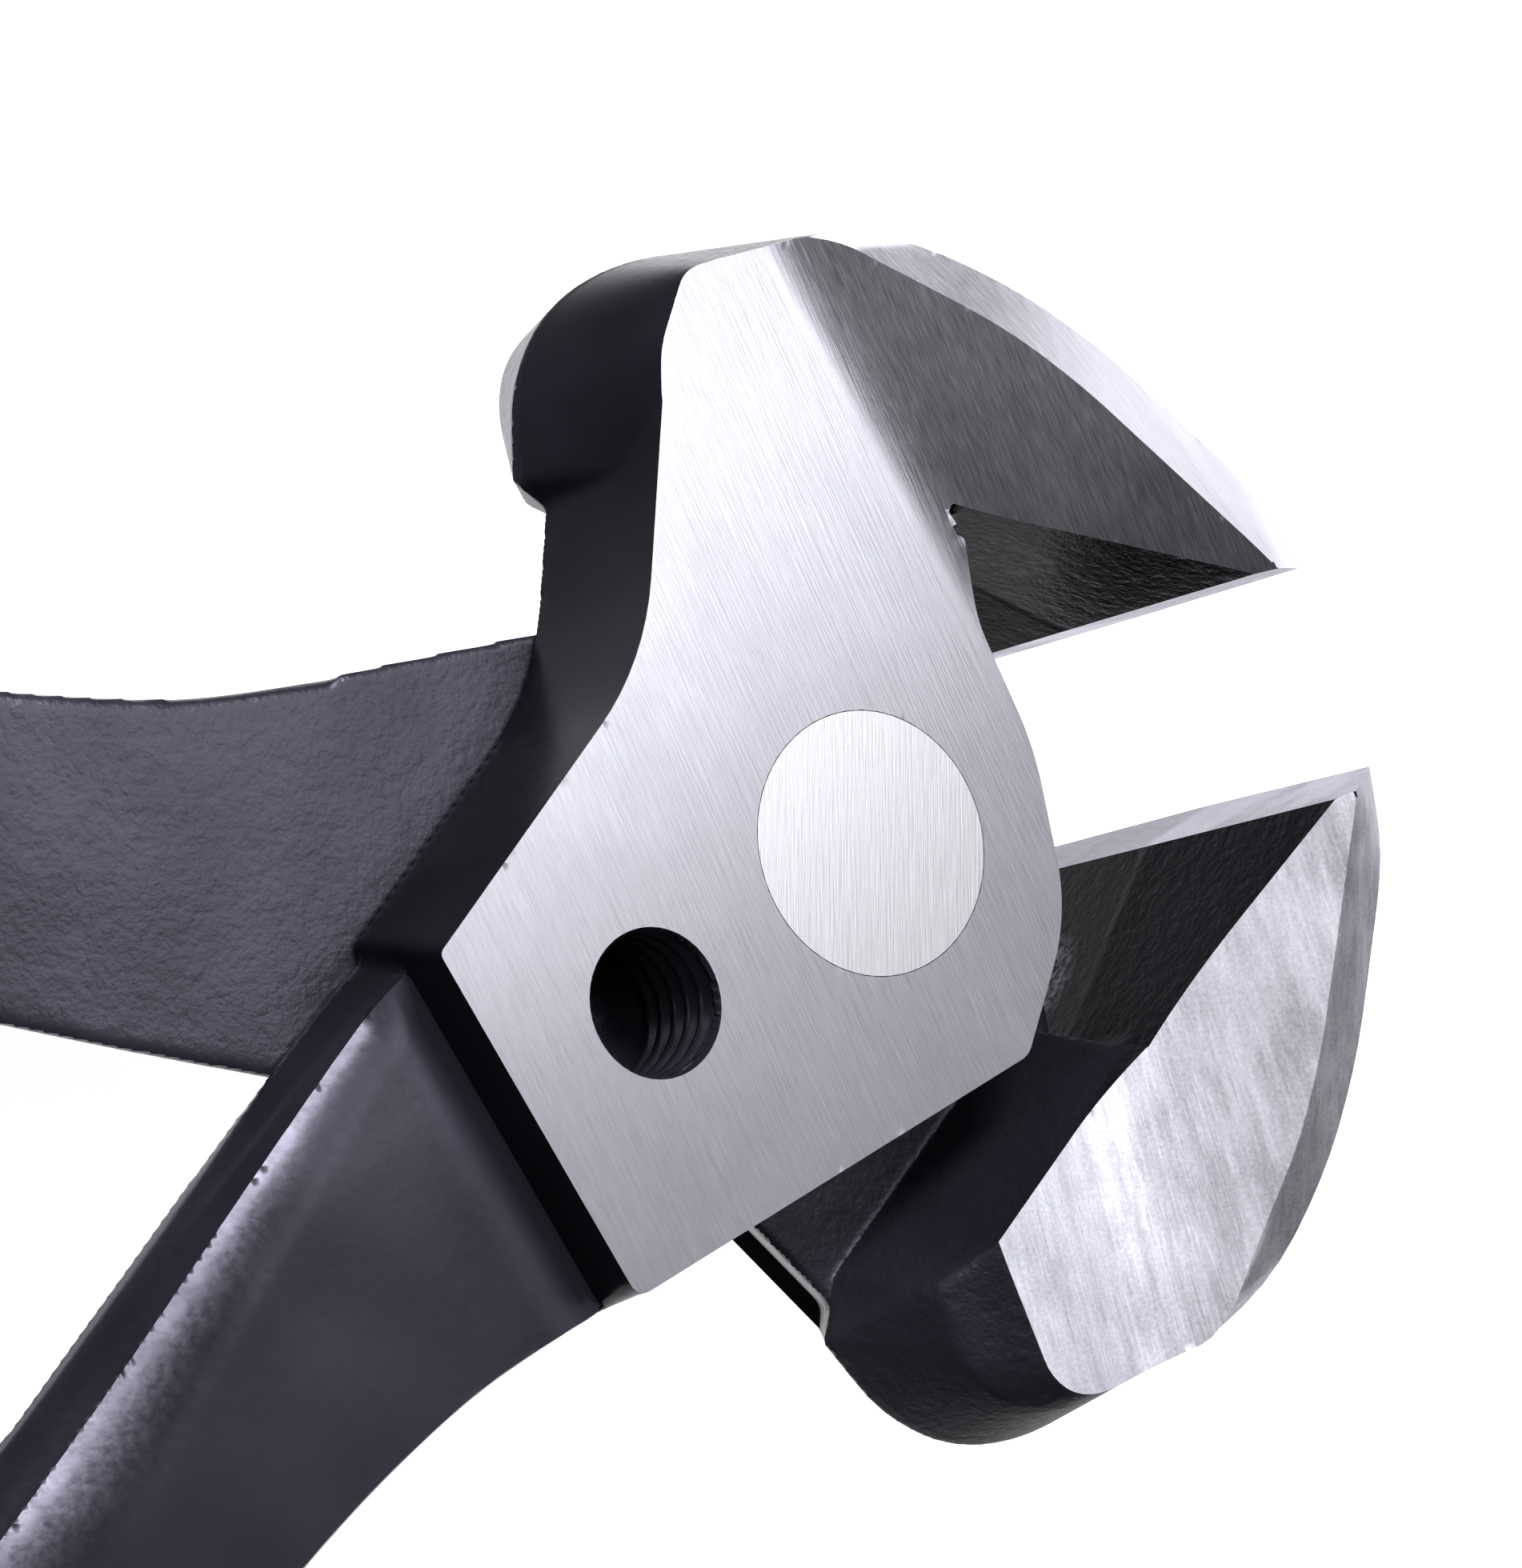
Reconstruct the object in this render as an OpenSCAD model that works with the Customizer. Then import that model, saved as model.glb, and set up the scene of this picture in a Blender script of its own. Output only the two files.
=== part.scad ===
// End cutting nippers: two forged halves lapped on a flush rivet, with plastic sleeve grips.
// The origin is the centre of the rivet on the front ground face. +X points to the jaws,
// +Y to the side of the front half's jaw, and +Z out of the front ground face.

/* [Joint] */
// Thickness of one half at the lap joint
plate_t = 7.2; // [6.4:0.1:8.2]
// Pivot to the step where the ground face ends at the handle
plate_back = 23.8; // [23:0.1:26]
// Pivot to the straight lower edge of the ground face
plate_low = 13.1; // [12.6:0.1:13.4]
// Pivot to the throat edge of the ground face
throat_r = 11.7; // [11:0.1:12.2]
// How far the forged edges lean out from the ground face to the lap face
edge_draft = 0.8; // [0.4:0.1:0.9]
// The same on the long edge that runs into the handle
arm_draft = 1.5; // [1:0.1:1.8]
// The same on the neck that carries the jaw
neck_draft = 2.2; // [1.6:0.1:2.8]
// Gap between the two lap faces
lap_gap = 0.1; // [0.04:0.02:0.2]
// Angle between the two halves in the pose that is drawn
open_angle = 22.9; // [5:0.1:36]

/* [Rivet] */
// Diameter of the flush rivet head
rivet_d = 13; // [12:0.1:13.6]
// Diameter of the rivet shank
shank_d = 11; // [9:0.1:11.4]
// Depth of the countersunk head
head_depth = 2; // [1.2:0.1:2.6]
// Radial clearance of the shank in its bores
pin_clearance = 0.05; // [0.02:0.01:0.1]

/* [Threaded hole] */
// Drilled diameter for the M8 thread
tap_d = 6.8; // [5:0.1:7.2]
// Pivot to the hole, along the half
tap_back = 15; // [14.4:0.1:17]
// Hole's offset from the half's centre line, to its lower edge
tap_side = 0.25; // [0:0.05:0.6]
// Chamfer round the mouth of the hole
tap_chamfer = 0.25; // [0.1:0.05:0.4]

/* [Jaw] */
// Pivot to the cutting edge
jaw_reach = 25.7; // [25.2:0.1:26.6]
// Height of the jaw over its cutting edge
jaw_height = 29.7; // [29:0.1:31]
// Length of the cutting edge
edge_w = 28.4; // [27:0.1:30]
// Greatest width of the jaw, at the corner of the end facets
jaw_w = 33; // [31.6:0.1:35]
// Pivot to where the ground face starts to flare out
flare_start = 13; // [12.6:0.1:13.6]
// Depth of the cutting bevel
bevel_in = 4.6; // [3.6:0.1:5]
// Rise of the cutting bevel
bevel_up = 1.7; // [1.4:0.1:2]
// Half the gap that is left between the closed cutting edges
edge_gap = 0.05; // [0.02:0.01:0.1]
// Inset of the jaw's back at the ground plane
crown = 1.5; // [1:0.1:1.8]
// Inset of the jaw's rounded end at the ground plane
end_draft = 4.7; // [4.2:0.1:5]
// How much further the rounded end's far wall leans in at the shoulder
far_draft = 2.9; // [2:0.1:3.2]
// Radius of the ground end facet's free corner
facet_r = 4; // [3:0.1:4.5]
// Inset of the ridge between end facet and flare, at the cutting edge
ridge_in = 4.5; // [3.6:0.1:5]
// Pivot to the shoulder behind the jaw, at the lap face
shoulder_r = 14.6; // [14.5:0.1:15.2]
// Lean of the shoulder over the thickness of the joint
shoulder_draft = 2.9; // [2.2:0.1:3.2]
// Direction of the shoulder's face
shoulder_angle = 50.7; // [49:0.1:53]

/* [Handle] */
// Thickness of the forged handle
handle_t = 7.2; // [6:0.1:8]
// Pivot to the end of the handle, along the half
handle_reach = 176; // [160:1:190]
// Greatest swing of the handle's centre line from the half's centre line
handle_spread = 23.4; // [20:0.1:28]
// Half width of the handle's flat face at the step
handle_w = 9.6; // [9:0.1:10]
// Bulge of the handle's inner side
side_round = 1.2; // [0.6:0.1:1.6]
// Inset of the flat face's inner edge, away from the step
face_inset = 1.2; // [0.6:0.1:1.5]
// Pivot to where the relief for the other half starts to run out
relief_reach = 47; // [44:0.5:50]
// Length over which that relief runs out
relief_run = 12; // [9:0.5:14]
// Space left beside the other handle when closed
relief_gap = 0.4; // [0.3:0.1:0.8]
// Where the forged handle ends inside its grip, as a share of the reach
tang_share = 0.9; // [0.8:0.01:0.92]

/* [Grip] */
// Wall of the plastic sleeve beside the handle
grip_wall = 1.9; // [1.4:0.1:2.6]
// Thickness of the sleeve over the handle's faces
grip_cover = 2.1; // [1.5:0.1:3]
// Swell of the sleeve at the palm
palm_swell = 1.2; // [0.4:0.1:2]
// Space between handle and sleeve
grip_gap = 0.05; // [0.02:0.01:0.2]
// Where the sleeve starts, as a share of the reach
grip_start_share = 0.342; // [0.33:0.001:0.37]

/* [Hidden] */
$fn = 96;

forged = [0.16, 0.16, 0.18];
ground = [0.72, 0.72, 0.74];
red = [0.72, 0.08, 0.08];

// One overrun for every cut
over = plate_t / 4;
// A block that is larger than the whole tool
whole = 2 * (handle_reach + jaw_reach);

// Smooth curves

function spline_point(a, b, c, d, t) =
    0.5 * ((2 * b) + (c - a) * t + (2 * a - 5 * b + 4 * c - d) * t * t
    + (3 * b - a - 3 * c + d) * t * t * t);

// A smooth curve through the points, n steps between each two of them
function spline(p, n) = let (last = len(p) - 1) [
    for (i = [0 : last - 1]) for (k = [0 : n - 1])
        spline_point(i > 0 ? p[i - 1] : 2 * p[0] - p[1], p[i], p[i + 1],
            i < last - 1 ? p[i + 2] : 2 * p[last] - p[last - 1], k / n),
    p[last]];

function unit(v) = v / norm(v);
function flat(p) = [p[0], p[1]];
function right_of(v) = [v[1], -v[0]];
function turned(v, a) = [v[0] * cos(a) - v[1] * sin(a), v[0] * sin(a) + v[1] * cos(a)];

// The arc that rounds corner b between a and c; the third value of b is its radius
function corner(a, b, c, n) = let (
    u = unit(flat(a) - flat(b)),
    v = unit(flat(c) - flat(b)),
    half = acos(u * v) / 2,
    centre = flat(b) + unit(u + v) * b[2] / sin(half),
    start = flat(b) + u * b[2] / tan(half) - centre,
    side = u[0] * v[1] - u[1] * v[0] > 0 ? -1 : 1)
    [for (k = [0 : n]) centre + turned(start, side * (180 - 2 * half) * k / n)];

function rounded(p, n) = let (c = len(p)) [
    for (i = [0 : c - 1]) each corner(p[(i + c - 1) % c], p[i], p[(i + 1) % c], n)];

// An outline whose edges are each moved out by their own distance
function moved_out(p, d) = let (c = len(p)) [
    for (i = [0 : c - 1]) let (
        h = (i + c - 1) % c,
        m = right_of(unit(flat(p[i]) - flat(p[h]))),
        n = right_of(unit(flat(p[(i + 1) % c]) - flat(p[i]))),
        k = m * n,
        v = (d[h] * (m - k * n) + d[i] * (n - k * m)) / (1 - k * k))
        [p[i][0] + v[0], p[i][1] + v[1], p[i][2]]];

// A solid skinned over rings of equally many points
module skin(rings) {
    n = len(rings[0]);
    last = len(rings) - 1;
    polyhedron(
        points = [for (r = rings) each r],
        faces = concat(
            [[for (k = [n - 1 : -1 : 0]) k]],
            [for (i = [0 : last - 1]) for (k = [0 : n - 1]) each [
                [i * n + k, i * n + (k + 1) % n, (i + 1) * n + k],
                [i * n + (k + 1) % n, (i + 1) * n + (k + 1) % n, (i + 1) * n + k]]],
            [[for (k = [0 : n - 1]) last * n + k]]));
}

// The lap plate

// Outline of the ground face: x, y and corner radius, counter-clockwise from the lower back
face_outline = [
    [-plate_back, -0.86 * plate_low, 0.06 * plate_low],
    [0.145 * plate_low, -1.004 * plate_low, 0.09 * plate_low],
    [0.684 * throat_r, -0.735 * throat_r, 0.85 * throat_r],
    [0.944 * throat_r, -0.068 * throat_r, 1.2 * throat_r],
    [throat_r, 0.504 * throat_r, 0.7 * throat_r],
    [1.035 * flare_start, 0.371 * jaw_height, 0.03 * throat_r],
    [1.035 * flare_start, 0.842 * jaw_height, 0.03 * throat_r],
    [0.19 * jaw_reach, 0.916 * jaw_height, 0.12 * jaw_height],
    [-0.238 * jaw_reach, 0.456 * jaw_height, 0.48 * jaw_height],
    [-plate_back, 0.256 * jaw_height, 0.03 * plate_low]];
// How far each edge leans out at the lap face
face_drafts = [edge_draft, edge_draft, edge_draft, edge_draft, edge_draft, 0, 0, neck_draft, arm_draft, 0];
lap_outline = moved_out(face_outline, face_drafts);

function plate_level(z) = let (k = (plate_t - z) / plate_t) [
    for (p = rounded([for (i = [0 : len(face_outline) - 1])
        face_outline[i] + k * (lap_outline[i] - face_outline[i])], 8)) [p[0], p[1], z]];

module slab(low, high) {
    translate([-whole, -whole, low])
        cube([2 * whole, 2 * whole, high - low]);
}

module plate() {
    intersection() {
        skin([plate_level(plate_t + over), plate_level(-over)]);
        slab(lap_gap / 2, plate_t);
    }
}

// The jaw

// Back of the jaw from the cutting edge over the top to the neck, as shares of reach and height
back_shares = [[1, 0], [0.992, 0.155], [0.944, 0.328], [0.884, 0.507], [0.799, 0.679], [0.678, 0.833],
    [0.504, 0.941], [0.305, 1], [0.127, 0.993], [-0.018, 0.918], [-0.124, 0.789]];
back = spline([for (s = back_shares) [s[0] * jaw_reach, s[1] * jaw_height]], 4);
top_x = back_shares[7][0] * jaw_reach;
end_x = back_shares[10][0] * jaw_reach;
band_x = 0.59 * jaw_reach;
// Inner end of the hollow behind the cutting bevel
hollow_end = [0.5175 * jaw_reach, 0.394 * jaw_height];
bevel_end = [jaw_reach - bevel_in, bevel_up];
flare_rise = (jaw_w / 2 - plate_t) / (jaw_reach - bevel_in - flare_start);

function back_out(i) = let (
    a = back[max(i - 1, 0)],
    b = back[min(i + 1, len(back) - 1)])
    right_of(unit(b - a));
// Height of the far wall as a share of the plate's thickness
wall_share = 0.78;
// The jaw's back is crowned, and its rounded end has more draft
function end_share(x) = max(0, (top_x - x) / (top_x - end_x));
function end_inset(x) = crown + (end_draft - crown) * pow(end_share(x), 0.6);
function far_inset(x) = crown * wall_share + far_draft * pow(end_share(x), 3);
function ridge_inset(x) = ridge_in * (0.48 + 0.52 * (x - band_x) / (jaw_reach - band_x));
// Height of the outer edge of the band between back and end facet
function band_z(x) = plate_t + (edge_w / 2 - plate_t) * (x - band_x) / (jaw_reach - band_x);
function flare_z(x) = plate_t + flare_rise * (x - flare_start);

band_points = [for (i = [0 : len(back) - 1]) if (back[i][0] > band_x) let (
    p = back[i] - back_out(i) * crown / 4)
    [p[0], p[1], band_z(back[i][0])]];
// The blank's band runs on past the ridge, so that the flare cuts it there
ridge_points = [for (i = [0 : len(back) - 1]) if (back[i][0] > band_x) let (
    p = back[i] - back_out(i) * ridge_inset(back[i][0]),
    low = back[i] - back_out(i) * crown / 4,
    z = flare_z(p[0]),
    more = 0.1)
    [p[0] + more * (p[0] - low[0]), p[1] + more * (p[1] - low[1]), z + more * (z - band_z(back[i][0]))]];
end_z = plate_t + over;
end_points = [for (i = [0 : len(back) - 1]) if (back[i][0] <= band_x) let (
    p = back[i] - back_out(i) * end_inset(back[i][0]) * end_z / plate_t)
    [p[0], p[1], end_z]];
// On the far side an upright wall, and a shoulder that runs up to the facet's round corner
facet_centre = [0.292 * jaw_reach, 0.768 * jaw_height];
far_points = concat(
    [for (p = end_points) if (p[0] > top_x) [p[0], p[1], -end_z]],
    [for (i = [0 : len(back) - 1]) if (back[i][0] <= top_x) let (
        p = back[i] - back_out(i) * far_inset(back[i][0]))
        [p[0], p[1], -wall_share * plate_t]],
    [for (a = [96 : 16 : 224]) let (p = facet_centre + 0.65 * facet_r * [cos(a), sin(a)])
        [p[0], p[1], -plate_t - over / 4]]);
// Foot of the shoulder at the lap face, and the inner corners of the jaw's blank
shoulder_foot = [
    [-0.078 * jaw_reach, 0.7 * jaw_height, 0],
    [0.095 * jaw_reach, 0.414 * jaw_height, 0],
    [0.76 * jaw_reach, 0, 0]];

module jaw_blank() {
    side = concat(band_points, ridge_points);
    points = concat(
        [for (p = back) [p[0], p[1], 0]],
        shoulder_foot,
        side,
        end_points,
        [for (p = side) [p[0], p[1], -p[2]]],
        far_points,
        [for (z = [-1, 1]) [jaw_reach - bevel_in, 0, z * (jaw_w / 2 + over)]]);
    hull()
        polyhedron(points, [[for (k = [0 : len(points) - 1]) k]]);
}

// What the grinding wheel leaves: flat at the joint's faces, and flared towards the cutting edge
module ground_envelope() {
    far = flare_z(2 * jaw_reach);
    rotate([90, 0, 0])
        translate([0, 0, -whole])
            linear_extrude(2 * whole)
                polygon([
                    [-whole, -plate_t], [flare_start, -plate_t], [2 * jaw_reach, -far],
                    [2 * jaw_reach, far], [flare_start, plate_t], [-whole, plate_t]]);
}

// The mouth between the jaws, with the cutting bevel
module mouth_cut() {
    translate([0, 0, -jaw_w])
        linear_extrude(2 * jaw_w)
            polygon([
                [2 * jaw_reach, -jaw_height],
                [2 * jaw_reach, edge_gap],
                [jaw_reach, edge_gap],
                bevel_end,
                hollow_end,
                [0.44 * jaw_reach, 0.313 * jaw_height],
                [0.28 * jaw_reach, -jaw_height]]);
}

// Room for the other half's plate: a leaning shoulder that ends at the line of the hollow
module shoulder_cut() {
    depth = jaw_w;
    lean = shoulder_draft * depth / plate_t;
    step = bevel_end - hollow_end;
    intersection() {
        rotate([0, 0, shoulder_angle])
            rotate([90, 0, 0])
                translate([0, 0, -whole / 2])
                    linear_extrude(whole)
                        polygon([
                            [-whole, lap_gap / 2], [shoulder_r, lap_gap / 2],
                            [shoulder_r + lean, -depth], [-whole, -depth]]);
        translate([0, 0, -depth])
            linear_extrude(2 * depth)
                polygon([[-jaw_reach, -jaw_height], bevel_end + step, hollow_end - 2 * step, [-jaw_reach, jaw_height]]);
    }
}

module jaw() {
    difference() {
        intersection() {
            jaw_blank();
            ground_envelope();
        }
        mouth_cut();
        shoulder_cut();
    }
}

// The handle

// Centre line and half width of the flat face: shares of reach, spread and width,
// and the bulge of the outer side as a share of the inner side's
handle_shares = [
    [0.112, 0.085, 1, 0.3], [0.1375, 0.096, 0.975, 0.4], [0.193, 0.152, 0.812, 0.75],
    [0.267, 0.286, 0.7, 1], [0.347, 0.479, 0.7, 1], [0.483, 0.79, 0.62, 1],
    [0.653, 0.99, 0.54, 1], [0.824, 1, 0.48, 1], [1, 0.834, 0.44, 1]];
stations = spline(handle_shares, 5);
function centre_at(s) = [-s[0] * handle_reach, -s[1] * handle_spread];
function handle_dir(i) = let (
    a = centre_at(stations[max(i - 1, 0)]),
    b = centre_at(stations[min(i + 1, len(stations) - 1)]))
    unit(b - a);

// Depth of the parting line, where the handle is widest, as a share of half its thickness
parting = 0.5;
function bulge(k) = let (t = (k + parting) / (k > -parting ? 1 + parting : 1 - parting)) 1 - t * t;

// One cross-section of the forged handle, grown by a margin; z runs past the flat faces
function handle_ring(i, margin) = let (
    s = stations[i],
    c = centre_at(s),
    inner = right_of(handle_dir(i)),
    w = s[2] * handle_w + margin,
    inset = face_inset * s[3] * s[3],
    steps = [-1.15, -0.8, -parting, -0.1, 0.3, 0.7, 1.15])
    [
        for (k = steps) let (r = w - inset + (side_round + inset) * bulge(k))
            [c[0] + inner[0] * r, c[1] + inner[1] * r, k * (handle_t / 2 + margin)],
        for (k = [len(steps) - 1 : -1 : 0]) let (r = w + side_round * s[3] * bulge(steps[k]))
            [c[0] - inner[0] * r, c[1] - inner[1] * r, steps[k] * (handle_t / 2 + margin)]];

function in_share(i, low, high) = stations[i][0] >= low && stations[i][0] <= high;

module handle_bar(low, high, margin) {
    intersection() {
        skin([for (i = [0 : len(stations) - 1]) if (in_share(i, low, high)) handle_ring(i, margin)]);
        slab(-handle_t / 2 - margin, handle_t / 2 + margin);
    }
}

// Room for the other half: the lap face runs out into the full thickness over a large radius,
// beyond a line along y that can be turned and moved
module relief(place, turn) {
    depth = handle_t / 2 + lap_gap / 2;
    r = (relief_run * relief_run + depth * depth) / (2 * depth);
    difference() {
        slab(-handle_t, lap_gap / 2);
        translate([place[0], place[1], lap_gap / 2 - depth])
            rotate([0, 0, turn])
                translate([-relief_run, 0, 0]) {
                    translate([0, 0, r])
                        rotate([90, 0, 0])
                            cylinder(h = whole, r = r, center = true, $fn = 400);
                    translate([-whole, -whole / 2, -handle_t])
                        cube([whole, whole, 2 * handle_t]);
                }
    }
}

handle_bend = handle_shares[4] - handle_shares[3];
handle_slope = atan(handle_spread * handle_bend[1] / (handle_reach * handle_bend[0]));

module handle() {
    difference() {
        handle_bar(0, tang_share, 0);
        relief([-relief_reach, 0], 0);
        relief([-plate_back, -lap_outline[9][1] - relief_gap], 90 - handle_slope);
    }
}

// One forged half, lap face at z = 0, cutting edge on y = 0

module rivet_shape(gap) {
    r = shank_d / 2 + gap;
    head = rivet_d / 2;
    translate([0, 0, -plate_t])
        cylinder(h = 2 * plate_t, r = r);
    for (side = [0, 1])
        mirror([0, 0, side])
            translate([0, 0, plate_t - head_depth])
                cylinder(h = head_depth, r1 = r, r2 = head + gap);
}

module half() {
    difference() {
        union() {
            plate();
            jaw();
            handle();
        }
        rivet_shape(pin_clearance);
        translate([-tap_back, -tap_side, -over]) {
            cylinder(h = plate_t + 2 * over, d = tap_d);
            translate([0, 0, over + plate_t - tap_chamfer])
                cylinder(h = tap_chamfer + over, r1 = tap_d / 2, r2 = tap_d / 2 + tap_chamfer + over);
        }
    }
}

// The plastic sleeve grip

grip_rings = [for (i = [0 : len(stations) - 1]) if (in_share(i, grip_start_share, 1)) i];

// One cross-section of n corners; the first one lies a little ahead of its station
function grip_ring(i, n) = let (
    s = stations[i],
    c = centre_at(s) - handle_dir(i) * (i == grip_rings[0] ? grip_wall / 2 : 0),
    out = right_of(handle_dir(i)),
    t = (s[0] - grip_start_share) / (1 - grip_start_share),
    swell = palm_swell * (sin(180 * min(1, t * 1.3)) + t),
    close = t > 0.93 ? sqrt(max(0, 1 - pow((t - 0.93) / 0.075, 2))) : 1,
    w = (handle_shares[4][2] * handle_w + side_round + grip_wall + swell * 0.6) * close,
    h = (handle_t / 2 + grip_cover + swell) * close)
    [for (k = [0 : n - 1]) let (
        a = 360 * k / n,
        x = sign(cos(a)) * pow(abs(cos(a)), 0.75) * w,
        z = sign(sin(a)) * pow(abs(sin(a)), 0.75) * h)
        [c[0] + out[0] * x, c[1] + out[1] * x, z]];

module grip() {
    difference() {
        skin([for (i = grip_rings) grip_ring(i, 24)]);
        handle_bar(0, tang_share, grip_gap);
    }
}

// The assembly

module place_front() {
    translate([0, 0, -plate_t])
        rotate([0, 0, open_angle / 2])
            children();
}

module place_rear() {
    translate([0, 0, -plate_t])
        rotate([0, 0, -open_angle / 2])
            rotate([180, 0, 0])
                children();
}

module front_half() {
    color(forged)
        place_front()
            half();
}

module rear_half() {
    color(forged)
        place_rear()
            half();
}

module rivet() {
    color(ground)
        place_front()
            rivet_shape(0);
}

module front_grip() {
    color(red)
        place_front()
            grip();
}

module rear_grip() {
    color(red)
        place_rear()
            grip();
}

front_half();
rear_half();
rivet();
front_grip();
rear_grip();
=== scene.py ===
# End cutting nippers in a studio: forged halves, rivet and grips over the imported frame.
import math

import bmesh
import bpy
import numpy as np
from mathutils import Matrix, Vector, noise
from mathutils.bvhtree import BVHTree
from mathutils.kdtree import KDTree


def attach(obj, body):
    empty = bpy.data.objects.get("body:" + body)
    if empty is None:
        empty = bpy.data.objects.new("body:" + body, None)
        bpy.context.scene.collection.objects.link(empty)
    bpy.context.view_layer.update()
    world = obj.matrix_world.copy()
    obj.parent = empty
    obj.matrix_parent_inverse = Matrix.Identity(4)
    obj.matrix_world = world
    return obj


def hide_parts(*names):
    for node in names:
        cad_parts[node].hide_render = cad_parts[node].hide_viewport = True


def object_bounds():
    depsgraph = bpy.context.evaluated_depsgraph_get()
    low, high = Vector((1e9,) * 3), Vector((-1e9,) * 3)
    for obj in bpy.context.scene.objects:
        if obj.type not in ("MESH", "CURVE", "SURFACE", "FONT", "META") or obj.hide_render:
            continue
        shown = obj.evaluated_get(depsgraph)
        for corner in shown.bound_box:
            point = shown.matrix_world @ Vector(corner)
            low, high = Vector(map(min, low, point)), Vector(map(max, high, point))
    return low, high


MM = 0.001

# Sizes of the tool in millimetres, as in the part's source
PLATE_T = 7.2
OPEN_ANGLE = 22.9
JAW_REACH = 25.7
FLARE_START = 13.0
FLARE_RISE = 1.148
RIVET_R = 6.5
HOLE = (-15.0, -0.25)
TAP_R = 3.4
THREAD_R = 4.0
THREAD_PITCH = 1.25
MOUTH_LIP = 0.5
LAP_GAP = 0.1
PLATE_BACK = 23.8
HANDLE_T = 7.2
BEVEL_X = 21.1

# Detail of the dressed parts in millimetres: size of the remeshed cells, then smoothing rounds
VOXEL = 0.24
SMOOTH_ROUNDS = 18
GRIP_VOXEL = 0.5
GRIP_ROUNDS = 6
WEIGHT_STEPS = 12
CRISP_ANGLE = 28.0
CRISP_SAMPLING = 0.05
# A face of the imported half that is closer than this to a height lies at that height
ON_FACE = 0.05
# A face lies flat when its normal's z is above this
FLAT = 0.99
# Shorter than this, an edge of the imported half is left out
TINY = 0.001
# A dressed point or face that is closer than this to the ground surface belongs to it
POINT_ON_GROUND = 0.1
FACE_ON_GROUND = 0.04
# Rounded foot of the flare on the plate's side and on the other side
FLARE_BLEND = 2.4
FAR_BLEND = 5.0
# Crowned inner edge of the handle's flat face: width at the step, width at the grip, length
# from one to the other, slope, and cosine of the edge's lean
CROWN_NEAR = 2.0
CROWN_FAR = 5.0
CROWN_RUN = 30.0
CROWN_SLOPE = 0.42
RIM_COSINE = 0.92
# Waves in the forged faces of the handles: height on the plate's side, on the other side, and
# waves per millimetre
WAVE_UPPER = 0.1
WAVE_LOWER = 0.3
WAVE_SCALE = 0.16
# Waves and crown start over this length
FADE = 3.0
# Steps round the thread and along it, and the wall behind its turns
THREAD_SIDES = 72
THREAD_ROWS = 72
THREAD_WALL = 0.2
# Room round those turns in the widened hole, and how far its cutter starts below the lap face
THREAD_ROOM = 0.05
OVERRUN = 1.0

# The photograph's view: image size, scale and place of the rivet in pixels
IMAGE = (1902, 1960)
PIXELS_PER_MM = 25.8
RIVET_PIXEL = (1089.5, 1053.8)
VIEW_TILT = 33.2
VIEW_ROLL = 16.0
VIEW_TURN = 4.53
LENS = 162.0
SENSOR = 36.0

# Kinds of surface on a forged half, and the marks on its faces that the material reads
FORGED, PLATE, FLARE, BAND, BEVEL, HOLLOW, HANDLE = range(7)
GROUND_KINDS = {PLATE, FLARE, BAND, BEVEL}
MARKS = ("ground", "band", "bevel", "hollow")

# Tones of the ground steel: painted shade on the near side and painted light on the far side and
# the near band, standing in for how the light falls on each.
# Near is a half's plate side, which the camera sees of the front half. Far and lower are its other
# side, which the camera sees of the rear half.
NEAR_TONE = 0.66
NEAR_BAND = 1.2
FAR_TONE = 1.42
FAR_BAND = 0.8
# Painted shade on the bevel: its tone is cut down, most on the plate's side
UPPER_BEVEL = 0.1
LOWER_BEVEL = 0.4
# Place of the painted shade line along the foot of the flare
FOOT_X = 11.9
# Middle of the worn, pitted patch at the end of the hollow
PITTED = (16.4, 7.7, 5.0)

WORN = (0.16, 0.16, 0.17, 1)
RED_DEEP = (0.42, 0.025, 0.03, 1)
RED_PALE = (0.5, 0.035, 0.04, 1)
FLOOR_TONES = (0.86, 0.86, 0.86, 1), (0.88, 0.88, 0.88, 1)
LIGHT_TINT = (0.98, 0.975, 1.05)

# Studio in metres and watts: half the floor's width, and each panel's name, place, aim, width,
# height and power
FLOOR = 3.0
PANELS = (
    ("key", (0.045, 0.028, 0.117), (-0.005, 0.005, 0), 0.075, 0.075, 0.055),
    ("fill", (0.165, -0.03, 0.25), (0, 0, 0), 0.25, 0.25, 0.09),
    ("top", (-0.1, 0.16, 0.3), (0, 0, 0), 0.2, 0.14, 0.18),
    ("side", (-0.29, 0.12, 0.155), (0, -0.02, 0), 0.18, 0.16, 0.2),
    ("right", (0.27, 0.11, 0.066), (0, 0, 0), 0.08, 0.08, 0.045),
    ("rim", (0.037, 0.165, 0.245), (-0.04, -0.02, 0), 0.1, 0.07, 0.9),
)

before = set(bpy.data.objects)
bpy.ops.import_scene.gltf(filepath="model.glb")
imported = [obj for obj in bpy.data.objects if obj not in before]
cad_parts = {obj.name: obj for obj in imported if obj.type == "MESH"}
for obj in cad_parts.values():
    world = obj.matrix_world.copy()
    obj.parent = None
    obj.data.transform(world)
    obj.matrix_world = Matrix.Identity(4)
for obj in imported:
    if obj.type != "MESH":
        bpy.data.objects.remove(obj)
cad_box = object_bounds()


def along(a, b, k):
    return a + (b - a) * k


# Camera

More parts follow.
